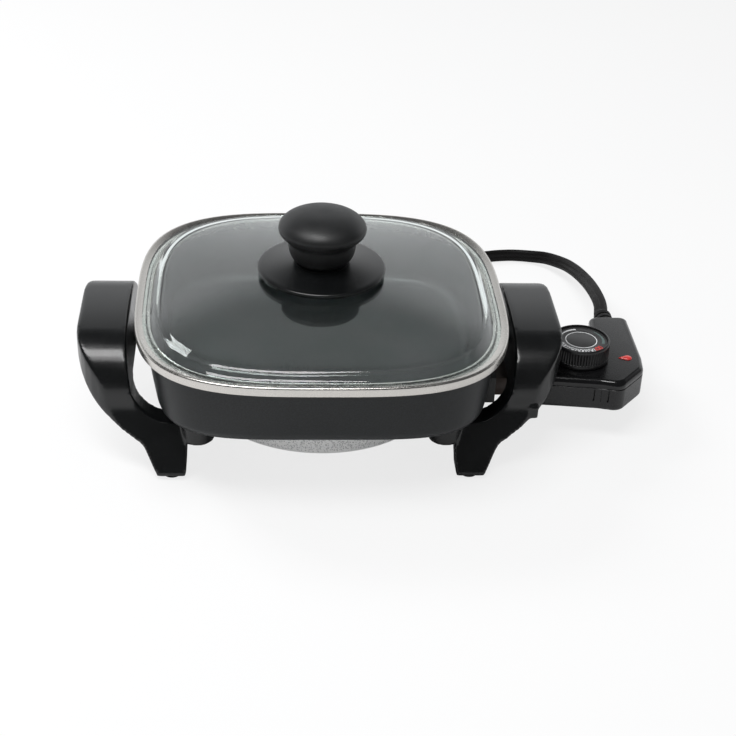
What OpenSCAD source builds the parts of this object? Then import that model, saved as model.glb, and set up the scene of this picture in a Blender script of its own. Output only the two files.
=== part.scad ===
// Small electric skillet: a cast pan on moulded handles that run down into legs, a lift-off glass lid
// and a plug-in temperature control with its cord. Heights are above the table.

/* [Pan] */
// Half width of the pan's wall at its rim
pan_half = 110.5; // [106:0.5:118]
// Height of the pan's base above the table
base_z = 42; // [40:0.5:46]
// Outside depth of the pan from base to rim
pan_depth = 43.3; // [40:0.1:50]
// Thickness of the pan's wall
pan_wall = 3.2; // [2.6:0.1:4]
// Thickness of the pan's floor
pan_floor = 3.5; // [3:0.1:4.5]
// Lean of the wall from upright, in degrees
wall_lean = 11.5; // [9:0.5:13]
// Outside radius where the wall turns into the base
base_round = 11; // [9:0.5:14]
// Squareness of the outline at the rim, where 2 is a circle
squareness = 3.3; // [3:0.1:3.8]
// Squareness of the outline at the base
base_squareness = 4.7; // [4:0.1:5.4]
// How far the lip stands out from the wall
lip_out = 1.2; // [0.6:0.1:2]
// Height of the lip
lip_h = 4; // [3:0.5:6]

/* [Handles and legs] */
// Gap between the pan's rim and the bar of the handle
handle_gap = 10.5; // [9:0.5:12]
// Width of the handle's bar
handle_w = 31; // [29:0.5:34]
// How far the bar's outer face bows back at its knees
bar_bow = 19.3; // [14:0.1:22]
// Height of the handle's top above the pan's base
handle_rise = 38.5; // [34:0.5:40]
// How far the bar's top falls from its middle to each knee
bar_crown = 3; // [2:0.5:4]
// Thickness of the bar under its top
bar_t = 29; // [23:0.5:30]
// Half length of the handle at the knees of its legs
knee_half = 60; // [56:0.5:64]
// Half length across the fronts of the feet
foot_half = 79; // [75:0.5:83]
// Thickness of a leg from front to back
leg_t = 18.5; // [16:0.5:20]
// Width of a foot
foot_w = 17.5; // [15:0.5:20]
// Radius of a rubber foot pad
pad_r = 5.5; // [4:0.1:6.5]
// How far a pad stands out of its foot
pad_out = 2; // [1.5:0.1:3]
// Radius of the mounting lug on each leg
lug_r = 10.5; // [9:0.5:11]
// Distance of the lugs from the middle line, front to back
lug_y = 62; // [58:0.5:64]
// Radius of a handle screw's shank
handle_screw_r = 1.95; // [1.5:0.05:2.4]

/* [Heating] */
// Distance from the pan's wall to the ring that the element makes
element_margin = 50.5; // [47:0.5:56]
// Radius of the element's sheath
sheath_r = 3.9; // [3.2:0.1:4.2]
// Half the spacing of the two terminal pins
pin_half = 10.5; // [10:0.1:11.5]
// Radius of a terminal pin
pin_r = 2.4; // [2:0.1:2.6]
// Depth of the pins' centre line below the pan's base
pin_drop = 9; // [8.7:0.1:10]
// Distance from the pan's wall to the side of the element cover
cover_margin = 33.5; // [31:0.5:36]
// Depth of the element cover below the pan's base
cover_drop = 23; // [19:0.5:23.5]
// Thickness of the cover and guard sheet
sheet_t = 1; // [0.8:0.1:1.4]

/* [Lid] */
// How far the lid's band stands out beyond the pan's wall
band_out = 5.5; // [4:0.5:7]
// How far the band hangs below the pan's rim
band_skirt = 1.1; // [0.5:0.1:2]
// Thickness of the band's steel
band_t = 0.8; // [0.6:0.1:1]
// Thickness of the glass
glass_t = 3; // [2.5:0.1:4]
// Height of the shoulder that rises inside the band
shoulder_h = 5.5; // [3:0.5:7]
// Height of the glass dome inside the shoulder
crown_h = 11.7; // [8:0.1:15]
// How high the lid lifts
lid_lift = 150; // [100:10:200]

/* [Knob] */
// Radius of the knob's cap
cap_r = 27.5; // [24:0.5:32]
// Height of the knob above its base guard
knob_h = 33; // [28:0.5:40]
// Radius of the knob's grip under the cap
grip_r = 21.3; // [18:0.1:22]
// Radius of the base guard under the knob
guard_disc_r = 40.3; // [36:0.1:44]
// Rise of the base guard from its rim to the knob
guard_disc_rise = 3.6; // [2:0.1:5]

/* [Temperature control] */
// Length of the control's casing
control_l = 85; // [82:0.5:92]
// Height of the control's casing
control_h = 22; // [20:0.5:24]
// Height of the upper casing at its edge
control_top_h = 5.7; // [5:0.1:6.5]
// How far the rounded upper edge of the casing is drawn in
bevel_in = 3.2; // [2:0.1:3.6]
// Height of the rounded upper edge
bevel_h = 4.4; // [3:0.1:4.6]
// How far the lower edge of the casing is drawn in
draft_in = 2.6; // [1:0.1:3]
// Height of the rounded lower edge
draft_h = 3.2; // [1:0.1:5]
// Wall of the casing
case_t = 2; // [1.5:0.1:2.4]
// Half width of the socket block
socket_half = 20.5; // [18:0.5:21]
// Half height of the socket block
socket_half_h = 6.5; // [6:0.1:6.8]
// Length of the socket block outside the casing
socket_l = 29; // [27:0.5:31]
// Radius of the sensor probe
probe_r = 3.2; // [2.8:0.1:3.4]
// How far the probe reaches past the socket block
probe_l = 59; // [50:1:60]
// How far the control pulls out
pull_out = 90; // [80:5:120]

/* [Dial] */
// Radius of the dial
dial_r = 19; // [17:0.1:20]
// Height of the dial
dial_h = 13.5; // [11:0.5:16]
// Number of grip ribs around the dial
dial_ribs = 60; // [36:1:64]
// Radius of the dial's shaft
shaft_r = 3; // [2.5:0.1:3.4]

/* [Cord] */
// Width of the flat two-core cord
cord_w = 9.5; // [8:0.5:10]
// Thickness of the cord
cord_t = 5; // [4.5:0.5:5.5]
// Middle radius of the stored coil
coil_r = 47; // [45:1:50]
// Height of the stored coil
coil_h = 15.5; // [14:0.5:18]

/* [Hidden] */
$fn = 64;

// Clearances: between parts that lift or slide apart, around screws and between seated parts
part_gap = 0.3;
screw_gap = 0.1;
seat_gap = 0.05;

// Pan
rim_z = base_z + pan_depth;
floor_z = base_z + pan_floor;
ring_points = 64;
arc_steps = 5;

// Handles: the bar's two faces, the foot and the lug, as distances from the pan's axis
bar_in = pan_half + handle_gap;
bar_out = bar_in + handle_w;
handle_top = base_z + handle_rise;
bar_under = handle_top - bar_t;
foot_out = pan_half - 9;
foot_in = foot_out - foot_w;
lug_x = pan_half - 33.5;
lug_low = base_z - 20.5;
lug_high = base_z - 8;
arm_high = base_z - 8.5;
arm_low = base_z - 22;
pad_x = (foot_in + foot_out) / 2;
pad_y = foot_half - leg_t / 2;
pad_h = pad_out + 4;
counterbore = 5.5;
boss_r = lug_r - 2;
knee_r = 33;
bow_power = 5;

// Heating element and terminals
pin_z = base_z - pin_drop;
element_z = base_z - sheath_r - screw_gap;
element_ring_r = pan_half - element_margin;
lead_bend_r = 14;
drop_bend_r = 12;
lead_x = sqrt(pow(element_ring_r + lead_bend_r, 2) - pow(pin_half + lead_bend_r, 2));
lead_angle = atan2(pin_half + lead_bend_r, lead_x);
drop_angle = acos(1 - (element_z - pin_z) / (2 * drop_bend_r));
drop_end_x = lead_x + 2 * drop_bend_r * sin(drop_angle);
sheath_end_x = max(drop_end_x, pan_half - 21) + 1;
bead_l = 5;
bead_r = sheath_r + 0.7;
socket_x = pan_half - 11.5;
pin_l = socket_x + 19 - sheath_end_x;
cover_z = base_z - cover_drop;
cover_r = pan_half - cover_margin;
well_half = pin_half - sheath_r - 1.1;
well_x0 = socket_x - probe_l - 6;
well_x1 = lead_x + 12;
guard_x0 = sheath_end_x + 2;
guard_x1 = socket_x + 14;
guard_half = socket_half + 2.5;
guard_low = pin_z - socket_half_h - 3.5;
guard_high = min(pin_z + socket_half_h + 4, base_z - part_gap);
guard_tab_x = pan_half - 17.5;
guard_tab_y = guard_half + 7.5;
guard_screw_r = 1.7;
guard_screw_l = 3.6;

// Lid
lid_half = pan_half + band_out;
lid_z = rim_z + part_gap;
band_h = 2 * band_t + glass_t + 0.7;
band_top = lid_z + band_h;
glass_low = lid_z + band_t + screw_gap;
glass_flat = glass_low + glass_t;
glass_edge = lid_half - band_t - screw_gap;
shoulder_out = lid_half - 6.5;
shoulder_in = lid_half - 14;
glass_hole_r = 4.3;
glass_peak = glass_flat + shoulder_h + crown_h;
guard_disc_t = 2.4;
guard_disc_z = glass_peak + 0.9;
knob_z = guard_disc_z + guard_disc_t + guard_disc_rise;
knob_screw_r = 2.4;
insert_r = 4;
insert_h = 12;
washer_r = 9;

// Temperature control
control_x = socket_x + socket_l;
control_reach = control_x + control_l;
control_low = pin_z - 11.6;
control_high = control_low + control_h;
seam_z = control_high - control_top_h;
case_floor = control_low + case_t;
case_ceiling = control_high - case_t;
dial_x = control_x + 42.8;
window_x = control_x + 74.6;
window_y = -1.7;
relief_x = control_x + 73;
relief_z = pin_z - 1;
relief_r = 6.4;
case_back = 55;
relief_l = 25;
bore_r = probe_r + seat_gap;
sleeve_r = pin_r + 1;
sleeve_bore = pin_r + part_gap;
blade_x = control_x + 12;
blade_t = 0.6;
spacer_h = 2.4;
frame_t = 1.2;
arm_z = case_floor + 11.5;
case_screw_r = 1.3;
post_r = 3.2;
case_screws_at = [[18, -18.5], [58, -24], [78, 32], [18, 20]];
case_corners = [
    [0, -24.5, 3], [27, -27.5, 20], [52, -30.5, 20], [65.5, -34, 8], [control_l - 1.5, -13, 10],
    [control_l, 1, 12], [control_l, case_back, 4], [59, case_back, 4], [56, 29, 4], [0, 27, 3]
];

// Dial
dial_z = control_high + 0.5;
face_t = 0.6;
face_low = dial_h - face_t - 1.2;

// Cord: the free stretch to the coil, with its roll in degrees as the fourth value, the coil's middle
// and the short stretch to the plug
cord_out = [
    [201, 80, 32, 0], [202.2, 87, 32, 0], [202.9, 95, 31.7, 5], [203.1, 104, 30.9, 12],
    [203, 118, 29, 22], [202.3, 136, 25.8, 34], [200.3, 157.5, 21.4, 46], [197.6, 174, 17.7, 56],
    [193.6, 189, 14, 66], [184.5, 207.2, 9, 77], [173.6, 216, 6.1, 85], [159.5, 220, 5, 90],
    [146, 219, 4.9, 90], [133.5, 216, 4.9, 88], [118, 213.6, 4.7, 68], [103, 213, 3.7, 35],
    [88, 213.6, 3, 8], [76, 213.9, 3, 0]
];
coil_at = [66, 167];
coil_low = 1;
cord_in = [
    [57.8, 213.3, 13.6], [45.5, 213.3, 13.6], [33, 213, 11.5], [20, 210.6, 8.8], [8, 206.3, 7.4],
    [-2, 202.4, 7.6], [-12, 199.5, 8.5]
];
plug_l = 34;
plug_w = 25;
plug_h = 17;

// The pan's axis stands off the middle of the whole outline, because the control reaches further out
pan_x = (bar_out - control_reach) / 2;

// Outline helpers
function ring(half, z, n = squareness) = [
    for (i = [0 : ring_points - 1])
        let (a = 360 * i / ring_points, c = cos(a), s = sin(a))
        let (r = half / pow(pow(abs(c), n) + pow(abs(s), n), 1 / n))
        [r * c, r * s, z]
];

function unit(v) = v / norm(v);

// Points of the arc that rounds corner b between a and c
function corner_arc(a, b, c, r, steps) =
    let (u = unit(a - b), w = unit(c - b), half = acos(u * w) / 2)
    let (middle = b + unit(u + w) * r / sin(half))
    let (from = b + u * r / tan(half) - middle, to = b + w * r / tan(half) - middle)
    let (start = atan2(from.y, from.x), turn = atan2(to.y, to.x) - start)
    let (sweep = turn > 180 ? turn - 360 : turn < -180 ? turn + 360 : turn)
    [for (i = [0 : steps]) middle + r * [cos(start + sweep * i / steps), sin(start + sweep * i / steps)]];

// Outline through corners given as [x, y, rounding]
function rounded(corners, steps = 6) = [
    for (i = [0 : len(corners) - 1])
        let (n = len(corners), a = corners[(i + n - 1) % n], b = corners[i], c = corners[(i + 1) % n])
        each (b.z > 0
            ? corner_arc([a.x, a.y], [b.x, b.y], [c.x, c.y], b.z, steps)
            : [[b.x, b.y]])
];

// Corner b of an outline moved in by d from both of its sides
function moved_corner(a, b, c, d) =
    let (u = unit(b - a), w = unit(c - b))
    let (p = [-u.y, u.x], q = [-w.y, w.x])
    b + (p + q) * d / (1 + p * q);

function moved_in(corners, d) = [
    for (i = [0 : len(corners) - 1])
        let (n = len(corners), a = corners[(i + n - 1) % n], b = corners[i], c = corners[(i + 1) % n])
        let (m = moved_corner([a.x, a.y], [b.x, b.y], [c.x, c.y], d))
        [m.x, m.y, b.z]
];

// Smooth line through the points, with the given number of steps between each two
function smooth(p, steps) = concat(
    [
        for (i = [0 : len(p) - 2], j = [0 : steps - 1])
            let (a = p[max(i - 1, 0)], b = p[i], c = p[i + 1], d = p[min(i + 2, len(p) - 1)], t = j / steps)
            (2 * b + (c - a) * t + (2 * a - 5 * b + 4 * c - d) * t * t
                + (3 * b - a - 3 * c + d) * t * t * t) / 2
    ],
    [p[len(p) - 1]]
);

// Closed skin over rings of points, with flat ends or joined end to end
module skin(rings, looped = false) {
    count = len(rings[0]);
    levels = len(rings);
    last = looped ? levels - 1 : levels - 2;
    sides = [
        for (j = [0 : last], i = [0 : count - 1])
            let (k = (i + 1) % count, m = (j + 1) % levels)
            each [
                [j * count + i, m * count + i, m * count + k],
                [j * count + i, m * count + k, j * count + k]
            ]
    ];
    ends = looped ? [] : [
        [for (i = [0 : count - 1]) i],
        [for (i = [count - 1 : -1 : 0]) (levels - 1) * count + i]
    ];
    polyhedron(points = [for (r = rings) each r], faces = concat(sides, ends), convexity = 8);
}

module block(low, high) {
    translate(low)
        cube(high - low);
}

// Cylinder along +X or +Y from a point
module along_x(from, length, r) {
    translate(from)
        rotate([0, 90, 0])
            cylinder(h = length, r = r);
}

module along_y(from, length, r) {
    translate(from)
        rotate([-90, 0, 0])
            cylinder(h = length, r = r);
}

module place() {
    translate([pan_x, 0, 0])
        children();
}

module four_corners(x, y) {
    for (sx = [-1, 1], sy = [-1, 1])
        translate([sx * x, sy * y, 0])
            children();
}

module both_sides(y) {
    for (sy = [-1, 1])
        translate([0, sy * y, 0])
            children();
}

// Pan: rings run from the base up the outside, over the lip and down the inside to the floor
function wall_half(z) = pan_half - (rim_z - z) * tan(wall_lean);
function square_at(z) = base_squareness + (squareness - base_squareness) * (z - base_z) / pan_depth;
function wall_ring(r, low, t) =
    let (centre = wall_half(base_z) - base_round * (1 / cos(wall_lean) - tan(wall_lean)))
    let (z = low + base_round - r * cos(t))
    ring(centre + r * sin(t), z, square_at(z));
module pan() {
    turn = 90 - wall_lean;
    inner_r = base_round - pan_wall;
    outer_arc = [for (i = [0 : arc_steps]) wall_ring(base_round, base_z, turn * i / arc_steps)];
    inner_arc = [
        for (i = [arc_steps : -1 : 0])
            let (t = turn * i / arc_steps, lift = (pan_floor - pan_wall) * (1 - i / arc_steps))
            [for (p = wall_ring(inner_r, base_z, t)) p + [0, 0, lift]]
    ];
    lip = pan_half + lip_out;
    lip_rings = [
        ring(wall_half(rim_z - lip_h - 1), rim_z - lip_h - 1),
        ring(lip, rim_z - lip_h),
        ring(lip, rim_z - 0.8),
        ring(lip - 0.8, rim_z),
        ring(pan_half - pan_wall + 0.6, rim_z),
        ring(pan_half - pan_wall, rim_z - 0.6)
    ];
    color([0.07, 0.07, 0.075])
        place()
            difference() {
                union() {
                    skin(concat(outer_arc, lip_rings, inner_arc));
                    four_corners(lug_x, lug_y)
                        translate([0, 0, lug_high])
                            cylinder(h = base_z + 1.5 - lug_high, r = boss_r);
                    both_sides(guard_tab_y)
                        translate([guard_tab_x, 0, guard_high])
                            cylinder(h = base_z + 2.5 - guard_high, r = 4);
                    translate([0, 0, cover_z - 4])
                        cylinder(h = cover_drop + 5, r = 2.5);
                }
                four_corners(lug_x, lug_y)
                    translate([0, 0, lug_high - 1])
                        cylinder(h = 11, r = handle_screw_r + screw_gap);
                both_sides(guard_tab_y)
                    translate([guard_tab_x, 0, guard_high - 1])
                        cylinder(h = guard_screw_l - 0.2, r = guard_screw_r + screw_gap);
            }
}

// Tube of oval section along a line of points, turned about the line by the rolls
module swept(line, width, height, sides, rolls = []) {
    last = len(line) - 1;
    skin([
        for (i = [last : -1 : 0])
            let (run = unit(line[min(i + 1, last)] - line[max(i - 1, 0)]))
            let (across = unit(cross(run, [0, 0, 1])), up = cross(across, run))
            let (roll = len(rolls) > 0 ? rolls[i] : 0)
            let (wide = across * cos(roll) + up * sin(roll), thick = up * cos(roll) - across * sin(roll))
            [
                for (k = [0 : sides - 1])
                    let (a = 360 * k / sides)
                    line[i] + wide * cos(a) * width / 2 + thick * sin(a) * height / 2
            ]
    ]);
}

// Heating element: an open ring under the base, whose ends turn out and step down to the pins
module heating_element() {
    drop = [drop_end_x, 0, pin_z + drop_bend_r];
    rise = [lead_x, 0, element_z - drop_bend_r];
    turn = [lead_x, pin_half + lead_bend_r, element_z];
    half = concat(
        [[sheath_end_x, pin_half, pin_z]],
        [
            for (a = [270, 270 - drop_angle / 4, 270 - drop_angle / 2, 270 - drop_angle * 0.75])
                drop + drop_bend_r * [cos(a), 0, sin(a)] + [0, pin_half, 0]
        ],
        [
            for (a = [90 - drop_angle, 90 - drop_angle * 0.75, 90 - drop_angle / 2, 90 - drop_angle / 4, 90])
                rise + drop_bend_r * [cos(a), 0, sin(a)] + [0, pin_half, 0]
        ],
        [
            for (i = [1 : 5])
                let (a = 270 - (90 - lead_angle) * i / 5)
                turn + lead_bend_r * [cos(a), sin(a), 0]
        ],
        [
            for (i = [1 : 20])
                let (a = lead_angle + (180 - lead_angle) * i / 20)
                [element_ring_r * cos(a), element_ring_r * sin(a), element_z]
        ]
    );
    other_half = [for (i = [len(half) - 2 : -1 : 0]) [half[i].x, -half[i].y, half[i].z]];
    color([0.32, 0.31, 0.3])
        place()
            swept(concat(half, other_half), 2 * sheath_r, 2 * sheath_r, 14);
}

module terminal_pins() {
    color([0.72, 0.72, 0.7])
        place()
            both_sides(pin_half)
                along_x([sheath_end_x, 0, pin_z], pin_l, pin_r);
}

module pin_beads() {
    color([0.9, 0.88, 0.82])
        place()
            both_sides(pin_half)
                difference() {
                    along_x([sheath_end_x, 0, pin_z], bead_l, bead_r);
                    along_x([sheath_end_x - 1, 0, pin_z], bead_l + 2, pin_r + seat_gap);
                }
}

// Well under the base that holds the control's sensor probe against the pan
module probe_well() {
    color([0.5, 0.5, 0.5])
        place()
            difference() {
                block([well_x0, -well_half, pin_z - well_half], [well_x1, well_half, base_z]);
                along_x([socket_x - probe_l - part_gap, 0, pin_z], well_x1, probe_r + part_gap);
            }
}

module element_cover() {
    color([0.62, 0.62, 0.6])
        place()
            difference() {
                translate([0, 0, cover_z])
                    cylinder(h = cover_drop - part_gap, r = cover_r, $fn = 128);
                translate([0, 0, cover_z + sheet_t])
                    cylinder(h = cover_drop, r = cover_r - sheet_t, $fn = 128);
                translate([0, 0, cover_z - 1])
                    cylinder(h = 3, r = 2.5 + screw_gap);
                block([cover_r / 2, -guard_half, pin_z - sheath_r - 4], [cover_r + 2, guard_half, base_z]);
            }
}

module cover_nut() {
    color([0.7, 0.7, 0.7])
        place()
            translate([0, 0, cover_z - 3])
                difference() {
                    cylinder(h = 3, r = 5, $fn = 6);
                    translate([0, 0, -1])
                        cylinder(h = 5, r = 2.5 + seat_gap);
                }
}

// Sheet-metal hood around the terminals, open towards the control
module terminal_guard() {
    color([0.3, 0.3, 0.3])
        place()
            difference() {
                union() {
                    block([guard_x0, -guard_half - 1.5, guard_low], [guard_x1, guard_half + 1.5, guard_high]);
                    block([guard_tab_x - 6, -guard_tab_y - 5, guard_high - 1.5],
                        [guard_tab_x + 6, guard_tab_y + 5, guard_high]);
                }
                block([guard_x0 + 1.5, -guard_half, guard_low + 1.5],
                    [guard_x1 + 1, guard_half, guard_high - 1.5]);
                both_sides(pin_half)
                    along_x([guard_x0 - 1, 0, pin_z], 4, bead_r + seat_gap);
                along_x([guard_x0 - 1, 0, pin_z], 4, probe_r + 0.8);
                both_sides(guard_tab_y)
                    translate([guard_tab_x, 0, guard_high - 3])
                        cylinder(h = 4, r = guard_screw_r + screw_gap);
            }
}

module guard_screws() {
    color([0.7, 0.7, 0.7])
        place()
            both_sides(guard_tab_y)
                translate([guard_tab_x, 0, guard_high - 1.5]) {
                    translate([0, 0, -2.2])
                        cylinder(h = 2.2, r = 2 * guard_screw_r);
                    cylinder(h = guard_screw_l, r = guard_screw_r);
                }
}

// Handle and legs: the side outline of the bar, arm and foot, cut to the arch seen from the end
// and to the bow of the bar seen from above
function bow_x(y) = bar_out - bar_bow * pow(abs(y) / knee_half, bow_power);

module handle() {
    bow_end = knee_half + 2;
    end_x = foot_out + 0.5;
    crown_r = (knee_half - knee_r) * knee_half / bar_crown;
    plan = concat(
        [[foot_in - 5, -foot_half - 1], [end_x, -foot_half - 1]],
        [
            for (i = [-9 : 9])
                let (y = bow_end * sign(i) * pow(abs(i) / 9, 0.6))
                [bow_x(y), y]
        ],
        [[end_x, foot_half + 1], [foot_in - 5, foot_half + 1]]
    );
    side = [
        [foot_out, pad_out, 1.5], [pan_half - 0.5, arm_low, 14], [bar_out, handle_top - 31, 52],
        [bar_out, handle_top, 3], [bar_in, handle_top, 3], [pan_half + 4.5, arm_high, 24],
        [foot_in - 1.5, arm_high, 0], [foot_in, pad_out, 1.5]
    ];
    arch = [
        [foot_half, pad_out, 1.5], [knee_half, base_z, 20], [knee_half, handle_top - bar_crown, knee_r],
        [0, handle_top, crown_r], [-knee_half, handle_top - bar_crown, knee_r], [-knee_half, base_z, 20],
        [-foot_half, pad_out, 1.5],
        [leg_t - foot_half, pad_out, 1.5], [leg_t - knee_half, bar_under, 12],
        [knee_half - leg_t, bar_under, 12], [foot_half - leg_t, pad_out, 1.5]
    ];
    difference() {
        union() {
            intersection() {
                translate([0, foot_half + 1, 0])
                    rotate([90, 0, 0])
                        linear_extrude(2 * foot_half + 2)
                            polygon(rounded(side, 8));
                translate([foot_in - 10, 0, 0])
                    rotate([90, 0, 90])
                        linear_extrude(bar_out)
                            polygon(rounded(arch, 12));
                linear_extrude(handle_top + 1)
                    polygon(plan);
            }
            both_sides(lug_y)
                translate([lug_x, 0, lug_low])
                    cylinder(h = lug_high - lug_low, r = lug_r);
        }
        both_sides(lug_y)
            translate([lug_x, 0, lug_low - 1]) {
                cylinder(h = counterbore + 1, r = 2 * handle_screw_r + 0.4);
                cylinder(h = lug_high, r = handle_screw_r + screw_gap);
            }
        both_sides(pad_y)
            translate([pad_x, 0, 0])
                cylinder(h = pad_h + seat_gap, r = pad_r + seat_gap);
    }
}

module left_handle() {
    color([0.05, 0.05, 0.055])
        place()
            mirror([1, 0, 0])
                handle();
}

module right_handle() {
    color([0.05, 0.05, 0.055])
        place()
            union() {
                handle();
                block([bar_out - 22, -knee_half - 2, arm_high + 1],
                    [bar_out - 17, -knee_half + 9, arm_high + 10]);
            }
}

module handle_screws() {
    color([0.75, 0.75, 0.75])
        place()
            four_corners(lug_x, lug_y)
                translate([0, 0, lug_low + counterbore]) {
                    translate([0, 0, -2.6])
                        cylinder(h = 2.6, r = 2 * handle_screw_r);
                    cylinder(h = lug_high - lug_low - counterbore + 9, r = handle_screw_r);
                }
}

module foot_pads() {
    color([0.1, 0.1, 0.1])
        place()
            four_corners(pad_x, pad_y)
                cylinder(h = pad_h, r = pad_r);
}

// Lid glass: a flat edge, a shoulder and a low dome that turns round towards the knob
function glass_top(a) =
    let (s = min(1, max(0, (shoulder_out - a) / (shoulder_out - shoulder_in))), b = min(1, a / shoulder_in))
    glass_flat + shoulder_h * s * s * (3 - 2 * s) + crown_h * (1 - b * b);
function glass_ring(a, z) =
    let (share = max(0, (a - guard_disc_r) / (glass_edge - guard_disc_r)))
    ring(a, z, 2 + (squareness - 2) * pow(share, 0.6));

module lid_glass() {
    step = (shoulder_out - shoulder_in) / 5;
    stops = concat(
        [glass_edge, shoulder_out],
        [for (i = [1 : 5]) shoulder_out - step * i],
        [for (share = [0.88, 0.72, 0.55, 0.38, 0.2]) shoulder_in * share],
        [washer_r + 1, glass_hole_r]
    );
    top_rings = [for (a = stops) glass_ring(a, glass_top(a))];
    low_rings = [
        for (i = [len(stops) - 1 : -1 : 0])
            let (a = stops[i])
            glass_ring(a, glass_top(min(glass_edge, a + glass_t / 2)) - glass_t)
    ];
    color([0.75, 0.82, 0.8, 0.4])
        place()
            skin(concat(top_rings, low_rings), true);
}

// Steel band: a channel around the glass, a seat on the pan's lip and a lip that locates it inside the rim
module lid_rim() {
    lip_drop = 3.5;
    locate_out = pan_half - pan_wall - 2 * part_gap - lip_drop * tan(wall_lean);
    section = [
        [lid_half - band_t, lid_z], [lid_half - band_t, lid_z - band_skirt],
        [lid_half, lid_z - band_skirt], [lid_half, band_top - 0.6], [lid_half - 0.6, band_top],
        [lid_half - 3.4, band_top], [lid_half - 3.4, band_top - band_t],
        [lid_half - band_t, band_top - band_t], [lid_half - band_t, lid_z + band_t],
        [locate_out - band_t, lid_z + band_t], [locate_out - band_t, lid_z - lip_drop],
        [locate_out, lid_z - lip_drop], [locate_out, lid_z]
    ];
    color([0.8, 0.79, 0.76])
        place()
            skin([for (p = section) ring(p.x, p.y)], true);
}

// Knob: a round cap over a waisted grip
module lid_knob() {
    cap_z = knob_z + knob_h - 10.5;
    grip_z = knob_z + knob_h * 0.4;
    color([0.06, 0.06, 0.065])
        place()
            difference() {
                rotate_extrude($fn = 96)
                    polygon(concat(
                        [[0, knob_z], [15.6, knob_z], [16.2, knob_z + 0.8]],
                        [for (t = [0 : 15 : 90]) [grip_r - 4.6 * (1 - sin(t)), grip_z - 12 * cos(t) + 0.6]],
                        [[grip_r, cap_z - 9], [grip_r + 0.7, cap_z - 7.2]],
                        [for (t = [-60 : 15 : 0]) [cap_r - 5 * (1 - cos(t)), cap_z + 5 * sin(t)]],
                        [for (t = [9 : 9 : 90]) [cap_r * pow(cos(t), 0.75), cap_z + 10.5 * pow(sin(t), 1.15)]]
                    ));
                translate([0, 0, knob_z - 1])
                    cylinder(h = insert_h + 1 + seat_gap, r = insert_r + seat_gap);
                translate([0, 0, knob_z])
                    cylinder(h = insert_h + 4, r = knob_screw_r + screw_gap);
            }
}

module knob_base_guard() {
    color([0.06, 0.06, 0.065])
        place()
            difference() {
                rotate_extrude($fn = 128)
                    polygon([
                        [0, glass_peak + seat_gap], [8, glass_peak + seat_gap], [8, guard_disc_z + 1.6],
                        [guard_disc_r - 1.6, guard_disc_z + 0.2], [guard_disc_r - 1.4, guard_disc_z - 0.4],
                        [guard_disc_r - 0.3, guard_disc_z - 0.4], [guard_disc_r, guard_disc_z],
                        [guard_disc_r, guard_disc_z + guard_disc_t - 0.8],
                        [guard_disc_r - 0.8, guard_disc_z + guard_disc_t], [17, knob_z], [0, knob_z]
                    ]);
                translate([0, 0, glass_peak - 1])
                    cylinder(h = 20, r = knob_screw_r + screw_gap);
            }
}

// Soft ring between the glass and the base guard
module knob_ring() {
    ring_in = guard_disc_r - 7;
    ring_out = guard_disc_r - 3.4;
    color([0.03, 0.03, 0.03])
        place()
            rotate_extrude($fn = 128)
                polygon([
                    [ring_in, glass_top(ring_in) + seat_gap], [ring_out, glass_top(ring_in) + seat_gap],
                    [ring_out, guard_disc_z + 0.2], [ring_in, guard_disc_z + 0.3]
                ]);
}

module knob_insert() {
    color([0.78, 0.62, 0.3])
        place()
            translate([0, 0, knob_z])
                difference() {
                    cylinder(h = insert_h, r = insert_r);
                    translate([0, 0, -1])
                        cylinder(h = insert_h + 2, r = knob_screw_r + seat_gap);
                }
}

// Fixing under the glass: gasket, washer and screw, from the glass down
gasket_top = glass_top(washer_r + 1 + glass_t / 2) - glass_t - seat_gap;
gasket_t = 1.4;
washer_t = 1.2;
washer_low = gasket_top - gasket_t - washer_t;

module glass_gasket() {
    color([0.85, 0.85, 0.83])
        place()
            translate([0, 0, gasket_top - gasket_t])
                difference() {
                    cylinder(h = gasket_t, r = washer_r + 1);
                    translate([0, 0, -1])
                        cylinder(h = gasket_t + 2, r = knob_screw_r + screw_gap);
                }
}

module knob_washer() {
    color([0.75, 0.75, 0.75])
        place()
            translate([0, 0, washer_low])
                difference() {
                    cylinder(h = washer_t, r = washer_r);
                    translate([0, 0, -1])
                        cylinder(h = washer_t + 2, r = knob_screw_r + screw_gap);
                }
}

module knob_screw() {
    color([0.75, 0.75, 0.75])
        place()
            translate([0, 0, washer_low]) {
                translate([0, 0, -2.8])
                    cylinder(h = 2.8, r1 = 3.4, r2 = 2 * knob_screw_r);
                cylinder(h = knob_z + insert_h - washer_low, r = knob_screw_r);
            }
}

// Layers that round an edge in fine steps, each as how far it is drawn in, its lower and its upper height.
// Each laps a little way into the larger one beside it.
function edge_layers(from, rise, in, steps = 5) = [
    for (i = [0 : steps - 1])
        let (a = 90 * i / steps, b = 90 * (i + 1) / steps)
        let (z = from + rise * sin(a) - seat_gap * sign(rise), y = from + rise * sin(b))
        [in * (1 - cos((a + b) / 2)), min(z, y), max(z, y)]
];

// Control casing: one outline with rounded corners, drawn in towards its top and bottom
module case_shape(layers) {
    for (layer = layers)
        translate([control_x, 0, layer.y])
            linear_extrude(layer.z - layer.y)
                polygon(rounded(moved_in(case_corners, layer.x)));
}

module case_hollow(low, high) {
    translate([control_x, 0, low])
        linear_extrude(high - low)
            polygon(rounded(moved_in(case_corners, case_t + 1.2)));
}

module socket_opening() {
    block([control_x - 1, -socket_half - seat_gap, pin_z - socket_half_h - seat_gap],
        [control_x + 4, socket_half + seat_gap, pin_z + socket_half_h + seat_gap]);
}

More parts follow.
